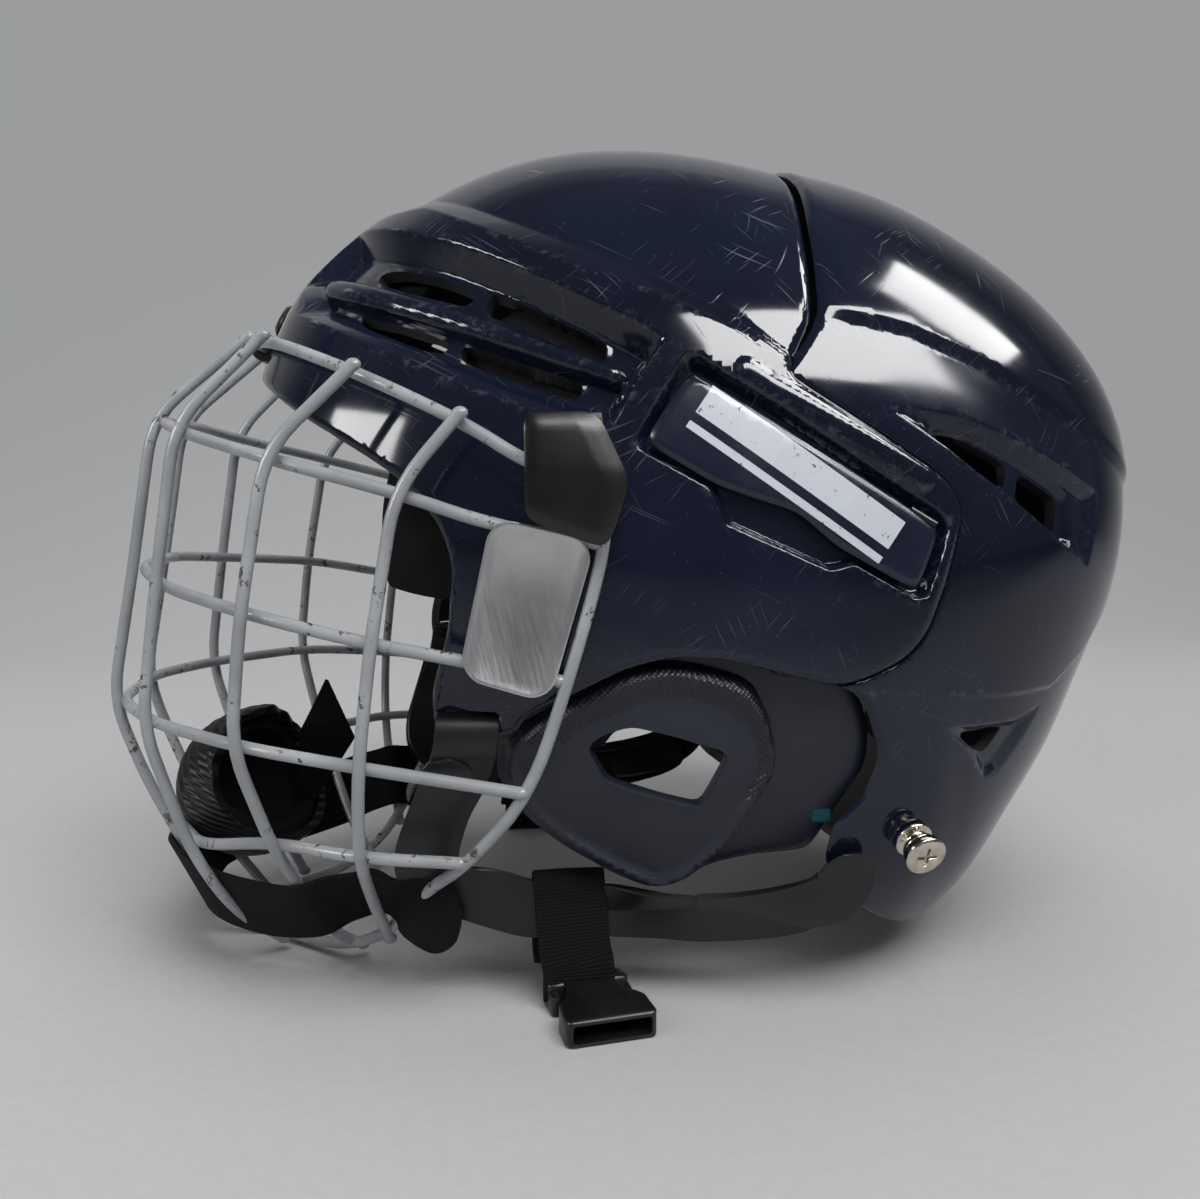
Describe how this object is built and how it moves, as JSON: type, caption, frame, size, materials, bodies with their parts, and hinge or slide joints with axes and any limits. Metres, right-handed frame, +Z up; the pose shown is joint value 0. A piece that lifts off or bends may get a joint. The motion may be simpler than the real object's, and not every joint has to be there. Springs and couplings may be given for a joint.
{
  "type": "ice hockey helmet with wire face cage",
  "caption": "Ice hockey helmet with a moulded two-piece shell, adjuster latches, ear guards, foam liner, chin straps and a hinged wire face cage.",
  "frame": {"origin": "on the floor under the middle of the helmet and cage", "axes": "+Z up, -X out through the face, -Y to the wearer's left"},
  "size_m": [0.2857, 0.2018, 0.2213],
  "materials": {
    "shell": "moulded navy, glossy with scuffs",
    "latch": "moulded navy, glossy",
    "ear_guard": "moulded navy, satin",
    "cage_wire": "grey powder coat, chipped",
    "cage_plate": "brushed",
    "screw": "plain",
    "black_screw": "black",
    "snap_post": "nickel plated",
    "clip_vinyl": "black vinyl, satin",
    "strap_vinyl": "black vinyl",
    "webbing": "black woven webbing",
    "buckle": "black acetal",
    "chin_cup": "black, textured",
    "foam": "closed-cell foam",
    "neck_foam": "closed-cell foam, teal"
  },
  "bodies": {
    "front_shell": {"front_shell": "shell", "latch_pins": "screw", "forehead_clip": "clip_vinyl", "forehead_screw": "black_screw", "flap_base_left": "clip_vinyl", "flap_base_right": "clip_vinyl", "flap_pins": "screw", "flap_base_screws": "screw", "ear_guard_left": "ear_guard", "ear_guard_right": "ear_guard", "ear_guard_screws": "screw", "front_strap_left": "strap_vinyl", "front_strap_right": "strap_vinyl", "buckle_web_left": "webbing", "buckle_web_right": "webbing", "buckle_socket": "buckle", "buckle_plug": "buckle", "front_pad": "foam", "crown_pad": "foam", "side_pad_left": "foam", "side_pad_right": "foam"},
    "rear_shell": {"rear_shell": "shell", "snap_post_left": "snap_post", "snap_post_right": "snap_post", "snap_post_nuts": "screw", "rear_pad": "foam", "neck_pad": "neck_foam", "rear_strap_left": "strap_vinyl", "rear_strap_right": "strap_vinyl"},
    "latch_left": {"latch_left": "latch"},
    "latch_right": {"latch_right": "latch"},
    "cage": {"cage_frame": "cage_wire", "bar_inner_left": "cage_wire", "bar_inner_right": "cage_wire", "bar_mid_left": "cage_wire", "bar_mid_right": "cage_wire", "bar_outer_left": "cage_wire", "bar_outer_right": "cage_wire", "bar_side_left": "cage_wire", "bar_side_right": "cage_wire", "cross_bar_eye": "cage_wire", "cross_bar_nose": "cage_wire", "cross_bar_mouth": "cage_wire", "cross_bar_chin": "cage_wire", "cage_plate_left": "cage_plate", "cage_plate_right": "cage_plate", "chin_cup": "chin_cup", "chin_cup_pad": "foam", "cage_webbing": "webbing", "webbing_flap": "webbing"},
    "side_flap_left": {"side_flap_left": "clip_vinyl"},
    "side_flap_right": {"side_flap_right": "clip_vinyl"},
    "plug_prong_front": {"plug_prong_front": "buckle"},
    "plug_prong_rear": {"plug_prong_rear": "buckle"}
  },
  "joints": [
    {"name": "size_adjust", "type": "slide", "parent": "front_shell", "child": "rear_shell", "axis": [0.9781, 0, -0.2079], "range_m": [0, 0.008]},
    {"name": "cage_flip", "type": "hinge", "parent": "front_shell", "child": "cage", "pos_m": [-0.101, 0, 0.1674], "axis": [0, 1, 0], "range_deg": [0, 105]},
    {"name": "latch_left_open", "type": "hinge", "parent": "front_shell", "child": "latch_left", "pos_m": [0.0062, -0.08996, 0.1526], "axis": [-0.8598, 0.0755, 0.505], "range_deg": [0, 55]},
    {"name": "latch_right_open", "type": "hinge", "parent": "front_shell", "child": "latch_right", "pos_m": [0.0062, 0.08996, 0.1526], "axis": [0.8598, 0.0755, -0.505], "range_deg": [0, 55]},
    {"name": "side_flap_left_open", "type": "hinge", "parent": "front_shell", "child": "side_flap_left", "pos_m": [-0.0255, -0.0916, 0.1432], "axis": [-1, 0, 0], "range_deg": [0, 70]},
    {"name": "side_flap_right_open", "type": "hinge", "parent": "front_shell", "child": "side_flap_right", "pos_m": [-0.0255, 0.0916, 0.1432], "axis": [1, 0, 0], "range_deg": [0, 70]},
    {"name": "prong_front_flex", "type": "hinge", "parent": "front_shell", "child": "plug_prong_front", "pos_m": [-0.02523, 0.08536, 0.0047], "axis": [0, 0, -1], "range_deg": [0, 8], "stiffness_Nm_per_rad": 0.3},
    {"name": "prong_rear_flex", "type": "hinge", "parent": "front_shell", "child": "plug_prong_rear", "pos_m": [-0.01004, 0.08483, 0.0047], "axis": [0, 0, 1], "range_deg": [0, 8], "stiffness_Nm_per_rad": 0.3}
  ]
}
